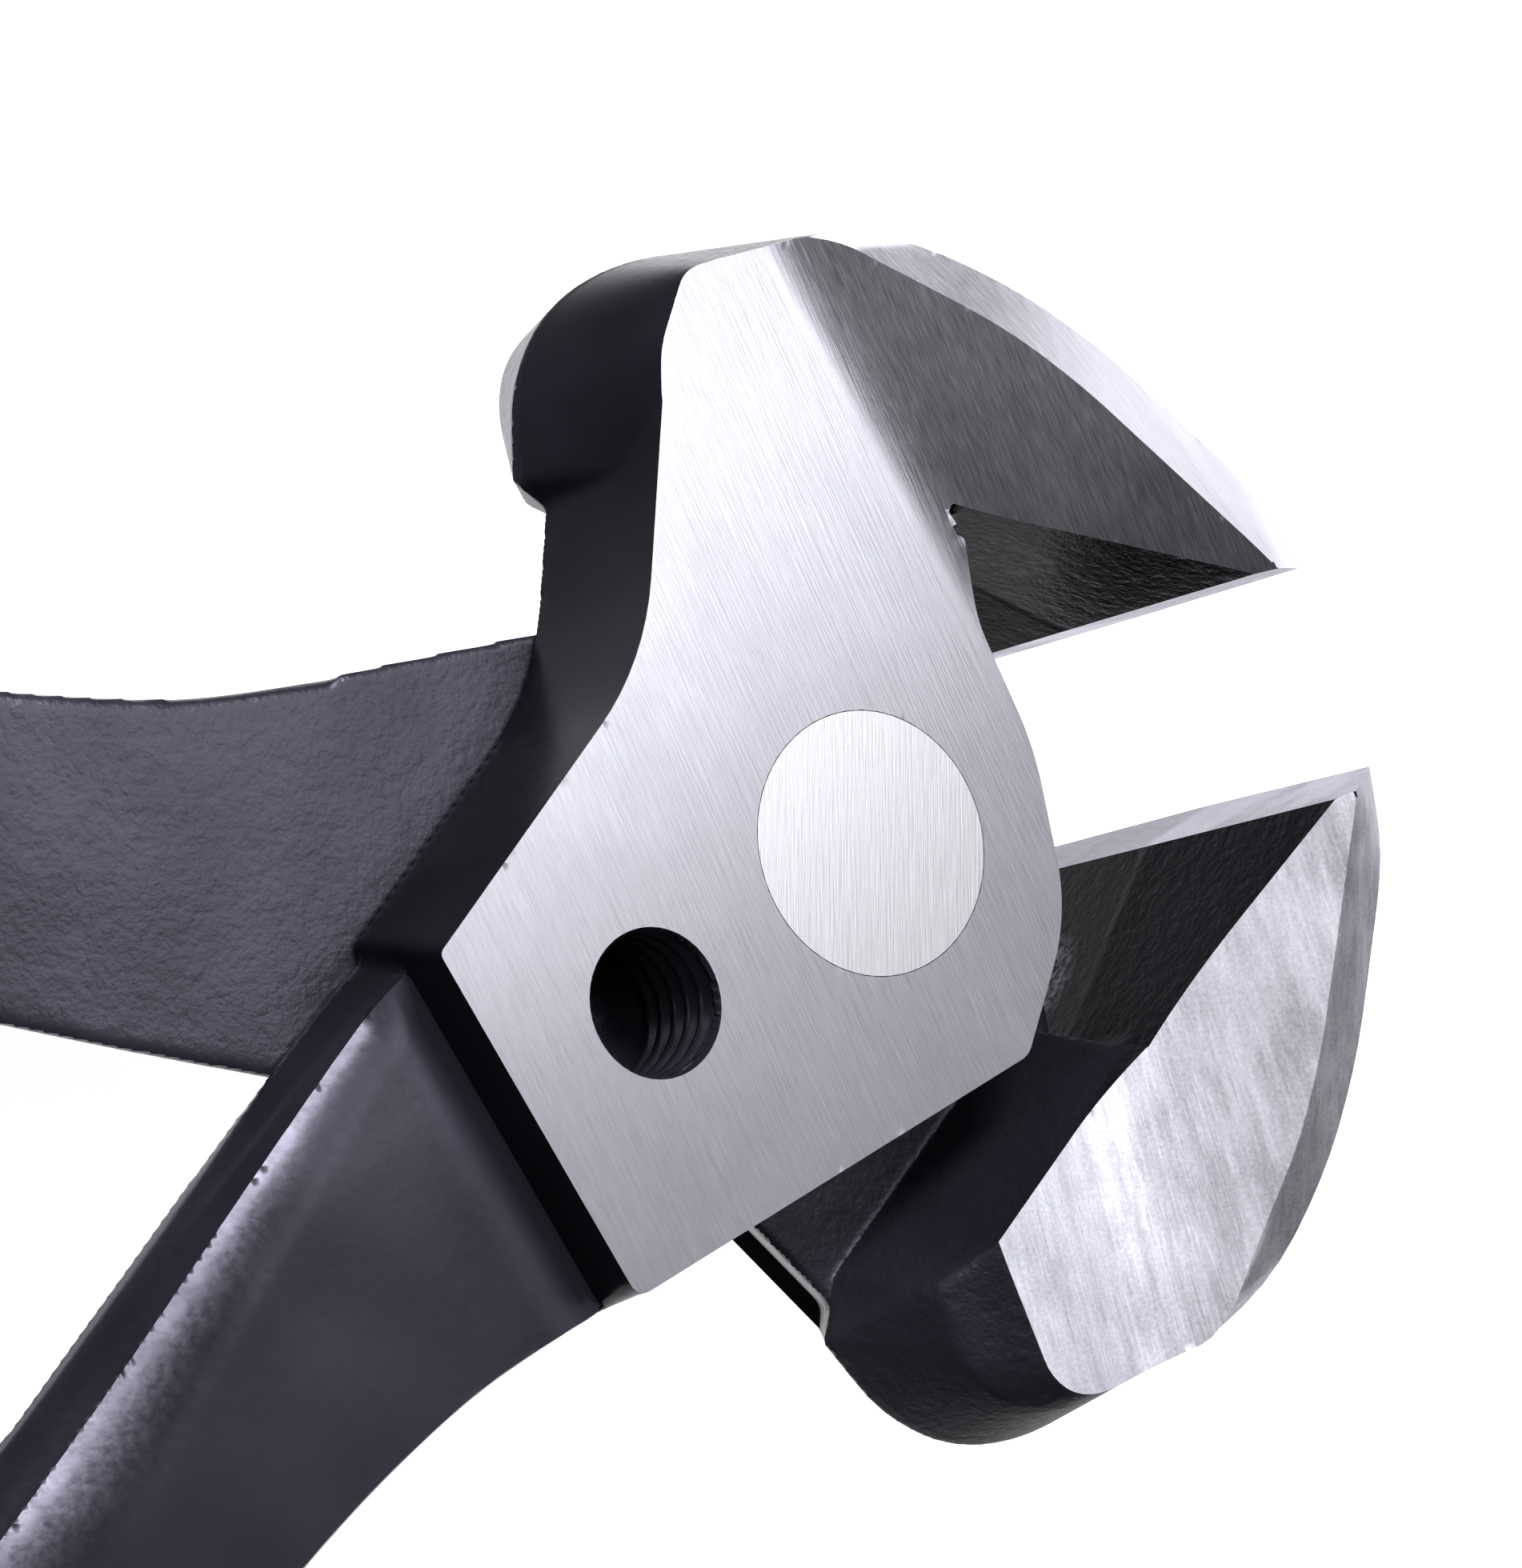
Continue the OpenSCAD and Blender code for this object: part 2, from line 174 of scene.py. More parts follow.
def place_camera():
    tilt, roll, turn = (math.radians(a) for a in (VIEW_TILT, VIEW_ROLL, VIEW_TURN))
    ahead = Vector((math.cos(turn), -math.sin(turn), 0))
    side = Vector((math.sin(turn), math.cos(turn), 0))
    up_z = Vector((0, 0, 1))
    across = math.cos(tilt) * ahead + math.sin(tilt) * up_z
    back = -math.sin(tilt) * ahead + math.cos(tilt) * up_z
    right = math.cos(roll) * across - math.sin(roll) * side
    up = math.sin(roll) * across + math.cos(roll) * side
    off_x = (RIVET_PIXEL[0] - IMAGE[0] / 2) / PIXELS_PER_MM
    off_y = (RIVET_PIXEL[1] - IMAGE[1] / 2) / PIXELS_PER_MM
    distance = LENS / SENSOR * max(IMAGE) / PIXELS_PER_MM
    eye = (back * distance - right * off_x + up * off_y) * MM
    data = bpy.data.cameras.new("camera")
    data.lens = LENS
    data.sensor_width = SENSOR
    data.clip_start = 0.01
    data.clip_end = 10
    camera = bpy.data.objects.new("camera", data)
    bpy.context.scene.collection.objects.link(camera)
    camera.matrix_world = Matrix.Translation(eye) @ Matrix((right, up, back)).transposed().to_4x4()
    bpy.context.scene.camera = camera


# Materials

class Nodes:
    """Short calls that build one material's nodes."""

    def __init__(self, name):
        self.material = bpy.data.materials.new(name)
        self.material.use_nodes = True
        self.tree = self.material.node_tree
        self.bsdf = self.tree.nodes["Principled BSDF"]

    def add(self, kind, inputs=None, **settings):
        node = self.tree.nodes.new("ShaderNode" + kind)
        for key, value in settings.items():
            setattr(node, key, value)
        for key, value in (inputs or {}).items():
            self.link(node, key, value)
        return node

    def link(self, node, key, value):
        socket = node.inputs[key]
        if isinstance(value, bpy.types.Node):
            value = value.outputs[0]
        if isinstance(value, bpy.types.NodeSocket):
            self.tree.links.new(value, socket)
        else:
            socket.default_value = value

    def math(self, operation, *values):
        node = self.add("Math", operation=operation)
        for i, value in enumerate(values):
            self.link(node, i, value)
        return node

    def remap(self, value, low, high, to_low=0.0, to_high=1.0):
        return self.add("MapRange", {0: value, 1: low, 2: high, 3: to_low, 4: to_high})

    def times(self, first, *others):
        for other in others:
            first = self.math("MULTIPLY", first, other)
        return first

    def blend(self, factor, a, b):
        """From a to b, for numbers."""
        return self.add("Mix", {0: factor, 2: a, 3: b}, data_type="FLOAT").outputs[0]

    def mix(self, factor, a, b):
        """From a to b, for colours."""
        node = self.add("Mix", data_type="RGBA")
        self.link(node, 0, factor)
        self.link(node, 6, a)
        self.link(node, 7, b)
        return node.outputs[2]

    def bump(self, height, strength, distance):
        return self.add("Bump", {"Height": height, "Strength": strength, "Distance": distance})

    def own(self):
        """Place in the half's own frame, in millimetres."""
        return self.add("Attribute", attribute_name="own").outputs["Vector"]

    def noise(self, vector, scale, detail=2.0, roughness=0.5):
        return self.add("TexNoise", {"Vector": vector, "Scale": scale, "Detail": detail,
                                     "Roughness": roughness}).outputs[0]

    def stretched(self, vector, scale, angle=0.0):
        turned = self.add("Mapping", {"Vector": vector, "Rotation": (0, 0, math.radians(angle))})
        return self.add("Mapping", {"Vector": turned, "Scale": scale}).outputs[0]


def ground_steel(m, own, place, sides, marks):
    """Colour and roughness of the faces that the wheel has ground, and the height of its marks."""
    x, y, _ = place
    far_side, lower, upper = sides
    band, bevel = marks
    brush = m.noise(m.stretched(own, (9.0, 0.25, 1.0), 6), 1.0, 3.0, 0.6)
    fine = m.noise(m.stretched(own, (24.0, 0.7, 1.0), 4), 1.0, 2.0, 0.6)
    streak = m.noise(m.stretched(own, (1.3, 0.16, 1.0), 6), 1.0, 3.0, 0.6)
    cloud = m.noise(own, 0.2, 3.0)
    speckle = m.math("SUBTRACT", m.noise(own, 5.0, 2.0, 0.7), 0.5)
    patches = m.times(m.remap(m.math("ADD", streak, cloud), 0.8, 1.25), far_side)
    tone = m.math("SUBTRACT", m.remap(brush, 0.25, 0.75, 0.52, 0.62), m.times(patches, 0.2))
    tone = m.math("MULTIPLY_ADD", m.math("SUBTRACT", fine, 0.5), 0.16, tone)
    tone = m.math("MULTIPLY_ADD", m.times(speckle, far_side), 0.3, tone)

    # Painted light and shade: the near side is painted paler towards the jaw's top and up the
    # flare, and painted shade darkens a line along the foot of the flare
    # Painted shade and light: the ground steel takes a darker tone on the near side and a paler one
    # on the far side
    side_tone = m.blend(far_side, m.remap(band, 0.0, 1.0, NEAR_TONE, NEAR_BAND),
                        m.remap(band, 0.0, 1.0, FAR_TONE, FAR_BAND))
    painted_light_slope = m.times(m.remap(y, 0.0, 22.0, -0.15, 0.25), upper)
    flare = m.times(m.remap(x, FLARE_START, FLARE_START + 3), m.math("SUBTRACT", upper, band))
    painted_light_slope = m.math("MULTIPLY_ADD", m.math("MAXIMUM", flare, 0.0),
                    m.remap(y, 4.0, 24.0, -0.2, 0.2), painted_light_slope)
    foot = m.remap(m.math("ABSOLUTE", m.math("SUBTRACT", x, FOOT_X)), 1.2, 0.2, 0.0, 0.34)
    side_tone = m.times(side_tone, m.math("ADD", painted_light_slope, 1.0),
                        m.math("SUBTRACT", 1.0, m.times(foot, upper)))
    # Painted shade: the bevel's tone is darkened, most on the plate's side
    bevel_tone = m.blend(bevel, 1.0, m.blend(lower, UPPER_BEVEL, LOWER_BEVEL))
    tone = m.times(tone, side_tone, bevel_tone)
    colour = m.add("CombineXYZ", {0: tone, 1: tone, 2: m.times(tone, 1.05)}).outputs[0]
    rough = m.math("ADD", m.remap(fine, 0.3, 0.7, 0.3, 0.42),
                   m.times(m.math("SUBTRACT", cloud, 0.5), 0.14))
    return colour, m.math("MULTIPLY_ADD", far_side, 0.16, rough), brush


def charcoal_tone(m, place, lower, facing, patch, shaded_jaw):
    """Diffuse tone of the charcoal skin, with painted shade on steep walls and at the jaw and
    painted light on the handle's flat by the step.
    """
    x, _, z = place
    dark = m.math("MULTIPLY_ADD", lower, 0.012, m.remap(patch, 0.3, 0.7, 0.01, 0.018))
    # Painted shade: steep walls and the jaw are darkened
    dark = m.times(dark, m.remap(shaded_jaw, 0.0, 1.0, 1.0, 0.5), m.remap(facing, 0.4, 0.1, 1.0, 0.5))
    # Painted light: the flat of the handle is painted paler up to the step, against the step's
    # shade
    painted_step_light = m.times(m.remap(x, -PLATE_BACK - 3.4, -PLATE_BACK - 0.4),
                   m.remap(x, -PLATE_BACK + 0.6, -PLATE_BACK),
                   m.remap(facing, 0.85, 0.97), m.remap(z, 2.0, 3.0))
    return m.math("MULTIPLY_ADD", painted_step_light, 0.035, dark)


def charcoal_sheen(m, place, sides, facing, patch, shaded_jaw):
    """Reflection strength of the charcoal skin, set by where a face lies and which way it points:
    painted shade dulls steep walls, the jaw and its back, and undersides at the joint; painted
    highlights brighten the handle's crowned rim, its lower walls and faces turned down to the
    floor.
    """
    x, y, z = place
    lower, upper = sides
    crowned = m.blend(m.remap(facing, 0.99, 0.965), 0.34, m.remap(x, -27.0, -46.0, 0.3, 0.95))
    top_sheen = m.blend(lower, crowned, m.remap(patch, 0.35, 0.65, 0.34, 0.5))
    under = m.times(m.remap(facing, 0.0, -0.25), m.remap(z, 2.0, 0.5, 0.1, 0.9))
    sheen = m.math("MAXIMUM", m.times(top_sheen, m.remap(facing, 0.5, 0.9)),
                   m.math("MAXIMUM", under, 0.06))
    upright = m.times(m.remap(x, -27.0, -34.0), m.remap(z, 2.6, 0.8, 0.06, 0.7),
                      m.remap(facing, 0.8, 0.6))
    back = m.times(m.remap(y, 16.0, 22.0), upper)
    # Painted shade: undersides at the joint are kept from mirroring the floor
    open_side = m.math("MAXIMUM", m.remap(facing, -0.25, -0.05), m.remap(z, 2.0, 0.5))
    return m.times(m.math("MAXIMUM", sheen, upright), m.remap(shaded_jaw, 0.0, 1.0, 1.0, 0.45),
                   m.remap(back, 0.0, 1.0, 1.0, 0.4), open_side)


def steel_material():
    m = Nodes("half_steel")
    own = m.own()
    axes = m.add("SeparateXYZ", {0: own})
    place = [axes.outputs[i] for i in range(3)]
    x, _, z = place
    ground, band, bevel, hollow = (m.add("Attribute", attribute_name=key).outputs["Fac"]
                                   for key in MARKS)
    facing = m.add("SeparateXYZ", {0: m.add("NewGeometry").outputs["Normal"]}).outputs[2]
    far_side = m.remap(z, -5.0, -6.5)
    lower = m.remap(z, 0.5, -0.5)
    upper = m.math("SUBTRACT", 1.0, lower)
    steel, steel_rough, brush = ground_steel(m, own, place, (far_side, lower, upper), (band, bevel))

    # Charcoal finish: orange peel on the skin, coarser on the far side and in the hollows
    grain = m.noise(own, 0.8, 3.0, 0.55)
    pits = m.noise(own, 2.2, 3.0, 0.6)
    patch = m.noise(own, 0.12, 2.0)
    # Painted shade: mask that darkens and dulls the skin at the jaw, fully on the lower side and
    # half on the upper
    shaded_jaw = m.times(m.remap(x, -5.0, 3.0), m.remap(lower, 0.0, 1.0, 0.5, 1.0))
    dark = charcoal_tone(m, place, lower, facing, patch, shaded_jaw)
    skin = m.add("CombineXYZ", {0: m.times(dark, 1.05), 1: dark, 2: m.times(dark, 1.35)})
    pitted = m.add("VectorMath", {0: own, 1: PITTED}, operation="DISTANCE").outputs["Value"]
    pitted = m.times(m.remap(pitted, 3.4, 2.2), m.remap(pits, 0.42, 0.6), hollow)
    skin = m.mix(pitted, skin.outputs[0], WORN)
    skin_rough = m.math("MULTIPLY_ADD", lower, 0.2, m.remap(pits, 0.3, 0.7, 0.18, 0.26))
    sheen = charcoal_sheen(m, place, (lower, upper), facing, patch, shaded_jaw)

    m.link(m.bsdf, "Base Color", m.mix(ground, skin, steel))
    m.link(m.bsdf, "Metallic", ground)
    m.link(m.bsdf, "Specular IOR Level", m.times(sheen, m.remap(hollow, 0.0, 1.0, 1.0, 0.6)))
    m.link(m.bsdf, "Specular Tint", (0.94, 0.93, 1.1, 1))
    m.link(m.bsdf, "Roughness", m.blend(ground, skin_rough, steel_rough))
    coarse = m.math("MAXIMUM", m.math("MAXIMUM", lower, m.times(hollow, 0.4)), 0.04)
    peel = m.math("ADD", m.times(grain, 0.6), m.times(pits, 0.4))
    peel = m.times(peel, m.times(coarse, m.math("SUBTRACT", 1.0, ground)))
    low_bump = m.bump(peel, 0.6, 0.00036)
    fine_bump = m.bump(m.times(brush, ground), 0.16, 0.0001)
    m.link(fine_bump, "Normal", low_bump)
    m.link(m.bsdf, "Normal", fine_bump)
    return m.material


def rivet_material():
    m = Nodes("rivet_steel")
    place = m.add("TexCoord").outputs["Object"]
    brush = m.noise(m.stretched(place, (9000.0, 300.0, 1000.0), 23), 1.0, 3.0, 0.6)
    tone = m.remap(brush, 0.3, 0.7, 0.5, 0.58)
    m.link(m.bsdf, "Base Color", m.add("CombineXYZ", {0: tone, 1: tone, 2: tone}))
    m.link(m.bsdf, "Metallic", 1.0)
    m.link(m.bsdf, "Roughness", m.remap(brush, 0.3, 0.7, 0.3, 0.4))
    m.link(m.bsdf, "Normal", m.bump(brush, 0.1, 0.0001))
    return m.material


def grip_material():
    m = Nodes("grip_plastic")
    place = m.add("TexCoord").outputs["Object"]
    wave = m.noise(place, 90.0, 2.0)
    grain = m.noise(place, 1800.0, 2.0)
    m.link(m.bsdf, "Base Color", m.mix(m.remap(wave, 0.3, 0.7), RED_DEEP, RED_PALE))
    m.link(m.bsdf, "Roughness", m.remap(grain, 0.3, 0.7, 0.3, 0.4))
    m.link(m.bsdf, "Normal", m.bump(grain, 0.08, 0.0001))
    return m.material


# Meshes

def own_to_row(side):
    """From a half's own frame in millimetres to the row frame in metres."""
    turn = Matrix.Rotation(math.radians(side * OPEN_ANGLE / 2), 4, "Z")
    if side < 0:
        turn = turn @ Matrix.Rotation(math.pi, 4, "X")
    return Matrix.Scale(MM, 4) @ Matrix.Translation((0, 0, -PLATE_T)) @ turn


def piece(name, mesh, body, material):
    mesh.materials.clear()
    mesh.materials.append(material)
    for polygon in mesh.polygons:
        polygon.use_smooth = True
    made = bpy.data.objects.new(name, mesh)
    bpy.context.scene.collection.objects.link(made)
    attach(made, body)
    return made


def packed_mesh(name, to_row):
    """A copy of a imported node's mesh in its half's own frame."""
    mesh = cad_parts[name].data.copy()
    mesh.transform(to_row.inverted())
    return mesh


def scratch(mesh):
    made = bpy.data.objects.new("scratch", mesh)
    bpy.context.scene.collection.objects.link(made)
    return made


def evaluated(source):
    """The mesh of an object with its modifiers applied."""
    graph = bpy.context.evaluated_depsgraph_get()
    graph.update()
    mesh = bpy.data.meshes.new_from_object(source.evaluated_get(graph))
    bpy.data.objects.remove(source)
    return mesh


def bored(mesh, radius, low, high, place):
    """The mesh with a round hole cut along z."""
    round_mesh = bpy.data.meshes.new("cutter")
    bm = bmesh.new()
    middle = Matrix.Translation((place[0], place[1], (low + high) / 2))
    bmesh.ops.create_cone(bm, cap_ends=True, segments=96, radius1=radius, radius2=radius,
                          depth=high - low, matrix=middle)
    bm.to_mesh(round_mesh)
    bm.free()
    made, cutter = scratch(mesh), scratch(round_mesh)
    bore = made.modifiers.new("bore", "BOOLEAN")
    bore.object = cutter
    bore.operation = "DIFFERENCE"
    bore.solver = "EXACT"
    mesh = evaluated(made)
    bpy.data.objects.remove(cutter)
    return mesh


def remeshed(mesh, voxel):
    made = scratch(mesh)
    remesh = made.modifiers.new("remesh", "REMESH")
    remesh.mode = "VOXEL"
    remesh.voxel_size = voxel
    return evaluated(made)


def softened(mesh, weights, rounds):
    """The mesh smoothed where its weights are high."""
    made = scratch(mesh)
    group = made.vertex_groups.new(name="soft")
    level = np.rint(weights * WEIGHT_STEPS).astype(int)
    for k in range(1, WEIGHT_STEPS + 1):
        members = np.nonzero(level == k)[0]
        if len(members):
            group.add(members.tolist(), k / WEIGHT_STEPS, "REPLACE")
    smooth = made.modifiers.new("smooth", "SMOOTH")
    smooth.factor = 0.5
    smooth.iterations = rounds
    smooth.vertex_group = "soft"
    return evaluated(made)


def points_of(mesh):
    flat = np.empty(len(mesh.vertices) * 3, dtype=np.float32)
    mesh.vertices.foreach_get("co", flat)
    return flat.reshape(-1, 3).astype(np.float64)


def set_points(mesh, points):
    mesh.vertices.foreach_set("co", points.astype(np.float32).ravel())
    mesh.update()


def mark_own(mesh, points):
    """Stores the points' places in the half's own frame for the material."""
    own = mesh.attributes.new("own", "FLOAT_VECTOR", "POINT")
    own.data.foreach_set("vector", np.array(points, dtype=np.float32).ravel())


def ground_height(x):
    return np.maximum(PLATE_T, PLATE_T + FLARE_RISE * (x - FLARE_START))


def smoothstep(value, low, high):
    k = np.clip((value - low) / (high - low), 0, 1)
    return k * k * (3 - 2 * k)


def kind_of(centre, normal):
    """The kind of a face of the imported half, in its own frame."""
    x, _, z = centre
    height = abs(z)
    if abs(normal.z) > FLAT and abs(height - PLATE_T) < ON_FACE:
        return PLATE
    if x > FLARE_START and abs(height - ground_height(x)) < ON_FACE and abs(normal.z) < 0.9:
        return FLARE
    if height > PLATE_T and abs(normal.z) > 0.25 and normal.x + normal.y > 0.1:
        return BAND
    if x > BEVEL_X and normal.y < -0.9:
        return BEVEL
    if x > FLARE_START - 1 and normal.y < -0.5:
        return HOLLOW
    if x < -PLATE_BACK and abs(normal.z) > FLAT and abs(height - HANDLE_T / 2) < ON_FACE:
        return HANDLE
    return FORGED


class Packed:
    """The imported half's faces, their kinds, its crisp edges and its handle's inner rim."""

    def __init__(self, mesh):
        bm = bmesh.new()
        bm.from_mesh(mesh)
        bmesh.ops.remove_doubles(bm, verts=bm.verts, dist=TINY)
        bm.normal_update()
        self.kinds = [kind_of(face.calc_center_median(), face.normal) for face in bm.faces]
        self.tree = BVHTree.FromBMesh(bm)
        crisp, rim = [], []
        limit = math.radians(CRISP_ANGLE)
        for edge in bm.edges:
            if len(edge.link_faces) != 2 or edge.calc_length() < TINY:
                continue
            kinds = {self.kinds[face.index] for face in edge.link_faces}
            sharp = edge.calc_face_angle(0) > limit
            if kinds & GROUND_KINDS and (sharp or len(kinds) > 1) and kinds != {PLATE, FLARE}:
                crisp.append(edge)
            if HANDLE in kinds and sharp and edge.verts[0].co.z > 0:
                crisp.append(edge)
                other = [f for f in edge.link_faces if self.kinds[f.index] != HANDLE]
                if other and other[0].normal.y > 0.3:
                    rim.append(edge)
        self.crisp = self.sampled(crisp)
        self.rim = np.array(sorted((v.co.x, v.co.y) for edge in rim for v in edge.verts))
        bm.free()

    @staticmethod
    def sampled(edges):
        points = []
        for edge in edges:
            a, b = (v.co for v in edge.verts)
            count = max(2, int((a - b).length / CRISP_SAMPLING))
            points += [a.lerp(b, k / count) for k in range(count + 1)]
        tree = KDTree(len(points))
        for i, point in enumerate(points):
            tree.insert(point, i)
        tree.balance()
        return tree


def soft_weights(p, packed):
    """How much each point is smoothed: not at all on ground faces, fits and crisp edges."""
    x, y, z = p.T
    below = ground_height(x) - np.abs(z)
    radius = np.hypot(x, y)
    bore_gap = np.hypot(x - HOLE[0], y - HOLE[1]) - TAP_R
    lap = (np.abs(z - LAP_GAP / 2) < 0.2) & (x > -PLATE_BACK)
    weights = smoothstep(below, 0.1, 0.6) * smoothstep(radius, RIVET_R + 0.3, RIVET_R + 1)
    weights *= smoothstep(bore_gap, 0.3, 1) * np.where(lap, 0.0, 1.0)
    weights *= smoothstep(np.hypot(x - JAW_REACH, y), 0.5, 2.0)
    weights *= smoothstep(np.array([packed.crisp.find(point)[2] for point in p]), 0.15, 0.8)
    return weights


def snap(p, packed):
    """Pulls points near ground faces and crisp edges back to where these are packed."""
    for i, point in enumerate(p):
        near, _, face, gap = packed.tree.find_nearest(point)
        if gap < VOXEL and packed.kinds[face] in GROUND_KINDS:
            p[i] = near
        near, _, gap = packed.crisp.find(p[i])
        if gap < VOXEL:
            p[i] = near


def mark_kinds(mesh, packed):
    """Stores the faces' kinds of surface for the material."""
    centres = np.empty(len(mesh.polygons) * 3, dtype=np.float32)
    mesh.polygons.foreach_get("center", centres)
    centres = centres.reshape(-1, 3)
    values = np.zeros((len(MARKS), len(centres)), dtype=np.float32)
    for i, centre in enumerate(centres):
        _, _, face, gap = packed.tree.find_nearest(centre)
        kind = packed.kinds[face]
        valley = abs(centre[0] - FLARE_START) < 1 and kind in (PLATE, FLARE)
        ground = kind in GROUND_KINDS and (gap < FACE_ON_GROUND or valley)
        values[:, i] = ground, kind == BAND, kind == BEVEL, kind == HOLLOW
    for mark, row in zip(MARKS, values):
        mesh.attributes.new(mark, "FLOAT", "FACE").data.foreach_set("value", row)


def shape(p, packed):
    """Bends the points of a half: rounded foot of the flare, waves, and crowned handle."""
    sign = np.sign(p[:, 2])
    rise = FLARE_RISE * (p[:, 0] - FLARE_START)
    on_ground = np.abs(np.abs(p[:, 2]) - ground_height(p[:, 0])) < POINT_ON_GROUND
    reach = np.where(p[:, 2] > 0, FLARE_BLEND, FAR_BLEND)
    blend = np.maximum(reach - np.abs(rise), 0)
    p[on_ground, 2] += (sign * blend * blend / (4 * reach))[on_ground]

    # The forging's faces are not quite flat
    start = -PLATE_BACK - 1
    for i in np.nonzero((p[:, 0] < start) & (sign != 0))[0]:
        wave = noise.noise(Vector((p[i, 0] * WAVE_SCALE, p[i, 1] * WAVE_SCALE, 0.5 * sign[i])))
        height = WAVE_UPPER if sign[i] > 0 else WAVE_LOWER
        p[i, 2] += height * wave * min(1, (start - p[i, 0]) / FADE)

    # The crown is highest on the flat face and fades out towards the handle's middle
    rim_y = np.interp(p[:, 0], packed.rim[:, 0], packed.rim[:, 1])
    rim_end = packed.rim[:, 0].max()
    width = along(CROWN_NEAR, CROWN_FAR, np.clip((-PLATE_BACK - p[:, 0]) / CROWN_RUN, 0, 1))
    inside = np.maximum(rim_y - p[:, 1], 0) * RIM_COSINE
    crown = CROWN_SLOPE * width / 2 * np.square(np.maximum(1 - inside / width, 0))
    crown *= np.clip((rim_end - p[:, 0]) / FADE, 0, 1)
    low = HANDLE_T / 12
    crown *= np.clip((p[:, 2] - low) / (HANDLE_T / 2 - low), 0, 1)
    p[:, 2] -= np.where(p[:, 0] < rim_end, crown, 0)


def dressed_half(name, body, side, material):
    to_row = own_to_row(side)
    mesh = packed_mesh(name, to_row)
    packed = Packed(mesh)
    mesh = bored(mesh, THREAD_R + THREAD_ROOM, -OVERRUN, PLATE_T - MOUTH_LIP, HOLE)
    mesh = remeshed(mesh, VOXEL)
    mesh = softened(mesh, soft_weights(points_of(mesh), packed), SMOOTH_ROUNDS)
    p = points_of(mesh)
    snap(p, packed)
    set_points(mesh, p)
    mark_kinds(mesh, packed)
    shape(p, packed)
    set_points(mesh, p)
    mark_own(mesh, p)
    mesh.transform(to_row)
    made = piece(name.replace("_", "."), mesh, body, material)
    mesh.set_sharp_from_angle(angle=math.radians(CRISP_ANGLE))
    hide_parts(name)


def thread_sleeve(name, body, side, material):
    """Turns of an M8 thread inside the tapped hole."""
    bottom, top = LAP_GAP / 2, PLATE_T - MOUTH_LIP
    points, faces = [], []

    def ring(z, radii):
        for i, r in enumerate(radii):
            a = 2 * math.pi * i / THREAD_SIDES
            points.append((HOLE[0] + r * math.cos(a), HOLE[1] + r * math.sin(a), z))

    for j in range(THREAD_ROWS + 1):
        z = along(bottom, top, j / THREAD_ROWS)
        phases = [(z / THREAD_PITCH - i / THREAD_SIDES) % 1 for i in range(THREAD_SIDES)]
        ridges = [min(1, max(0, 1.25 - abs(phase - 0.5) * 3)) for phase in phases]
        ring(z, [along(THREAD_R, TAP_R, ridge) for ridge in ridges])
    outer = len(points)
    for z in (bottom, top):
        ring(z, [THREAD_R + THREAD_WALL] * THREAD_SIDES)

    around = [(i, (i + 1) % THREAD_SIDES) for i in range(THREAD_SIDES)]
    for low in range(0, THREAD_ROWS * THREAD_SIDES, THREAD_SIDES):
        high = low + THREAD_SIDES
        faces += [(low + i, high + i, high + k, low + k) for i, k in around]
    last, upper = THREAD_ROWS * THREAD_SIDES, outer + THREAD_SIDES
    for i, k in around:
        faces.append((outer + i, outer + k, upper + k, upper + i))
        faces.append((i, k, outer + k, outer + i))
        faces.append((last + k, last + i, upper + i, upper + k))
    mesh = bpy.data.meshes.new(name)
    mesh.from_pydata(points, [], faces)
    mark_own(mesh, points)
    mesh.transform(own_to_row(side))
    piece(name, mesh, body, material)


def dressed_grip(name, body, side, material):
    to_row = own_to_row(side)
    mesh = remeshed(packed_mesh(name, to_row), GRIP_VOXEL)
    mesh = softened(mesh, np.ones(len(mesh.vertices)), GRIP_ROUNDS)
    mesh.transform(to_row)
    made = piece(name.replace("_", "."), mesh, body, material)
    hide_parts(name)


# Studio

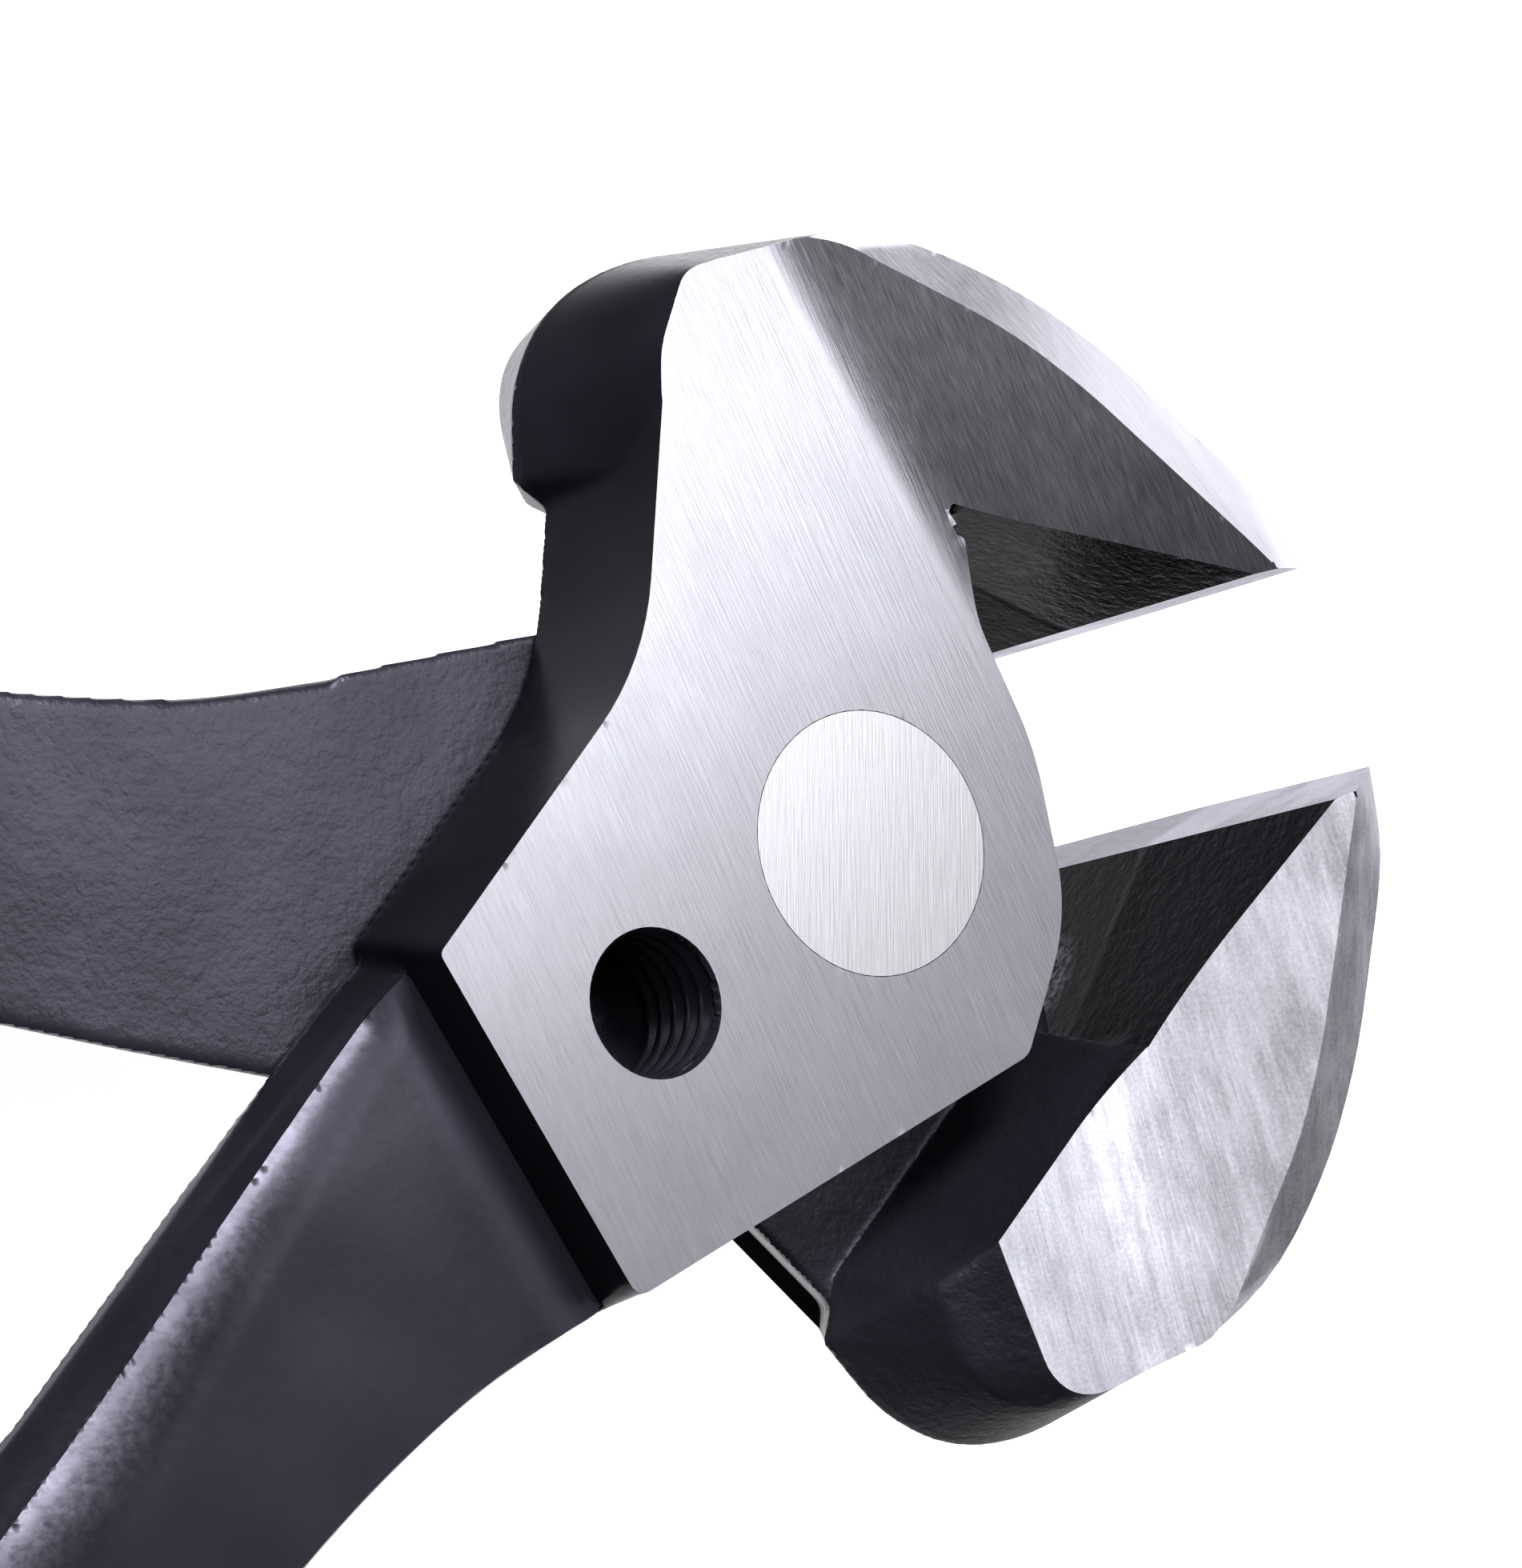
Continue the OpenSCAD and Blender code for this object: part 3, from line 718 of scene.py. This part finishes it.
def floor_material():
    """White floor that glows for the camera and in reflections, and lights nothing else."""
    m = Nodes("floor_white")
    ray = m.add("LightPath")
    seen = m.math("MAXIMUM", ray.outputs["Is Camera Ray"], ray.outputs["Is Glossy Ray"])
    seen = m.math("MAXIMUM", seen, ray.outputs["Is Transmission Ray"])
    place = m.add("TexCoord").outputs["Object"]
    m.link(m.bsdf, "Roughness", 0.9)
    m.link(m.bsdf, "Base Color", m.mix(m.noise(place, 3.0), *FLOOR_TONES))
    m.link(m.bsdf, "Emission Color", (1, 1, 1, 1))
    m.link(m.bsdf, "Emission Strength", m.times(seen, 0.9))
    return m.material


def studio():
    floor_z = cad_box[0][2]
    mesh = bpy.data.meshes.new("floor")
    mesh.from_pydata([(-FLOOR, -FLOOR, floor_z), (FLOOR, -FLOOR, floor_z), (FLOOR, FLOOR, floor_z),
                      (-FLOOR, FLOOR, floor_z)], [], [(0, 1, 2, 3)])
    mesh.materials.append(floor_material())
    floor = bpy.data.objects.new("floor", mesh)
    bpy.context.scene.collection.objects.link(floor)

    world = bpy.data.worlds.new("world")
    bpy.context.scene.world = world
    world.use_nodes = True
    background = world.node_tree.nodes["Background"]
    background.inputs["Color"].default_value = (*LIGHT_TINT, 1)
    background.inputs["Strength"].default_value = 0.1

    for name, place, aim, width, height, power in PANELS:
        data = bpy.data.lights.new(name, "AREA")
        data.shape = "RECTANGLE"
        data.size, data.size_y, data.energy = width, height, power
        data.color = LIGHT_TINT
        light = bpy.data.objects.new(name, data)
        light.location = place
        light.rotation_euler = (Vector(aim) - Vector(place)).to_track_quat("-Z", "Y").to_euler()
        bpy.context.scene.collection.objects.link(light)


place_camera()
steel = steel_material()
dressed_half("front_half", "front", 1, steel)
dressed_half("rear_half", "rear", -1, steel)
thread_sleeve("front.thread", "front", 1, steel)
thread_sleeve("rear.thread", "rear", -1, steel)
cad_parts["rivet"].data.materials.clear()
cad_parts["rivet"].data.materials.append(rivet_material())
plastic = grip_material()
dressed_grip("front_grip", "front", 1, plastic)
dressed_grip("rear_grip", "rear", -1, plastic)
studio()

scene = bpy.context.scene
scene.view_settings.view_transform = "Standard"
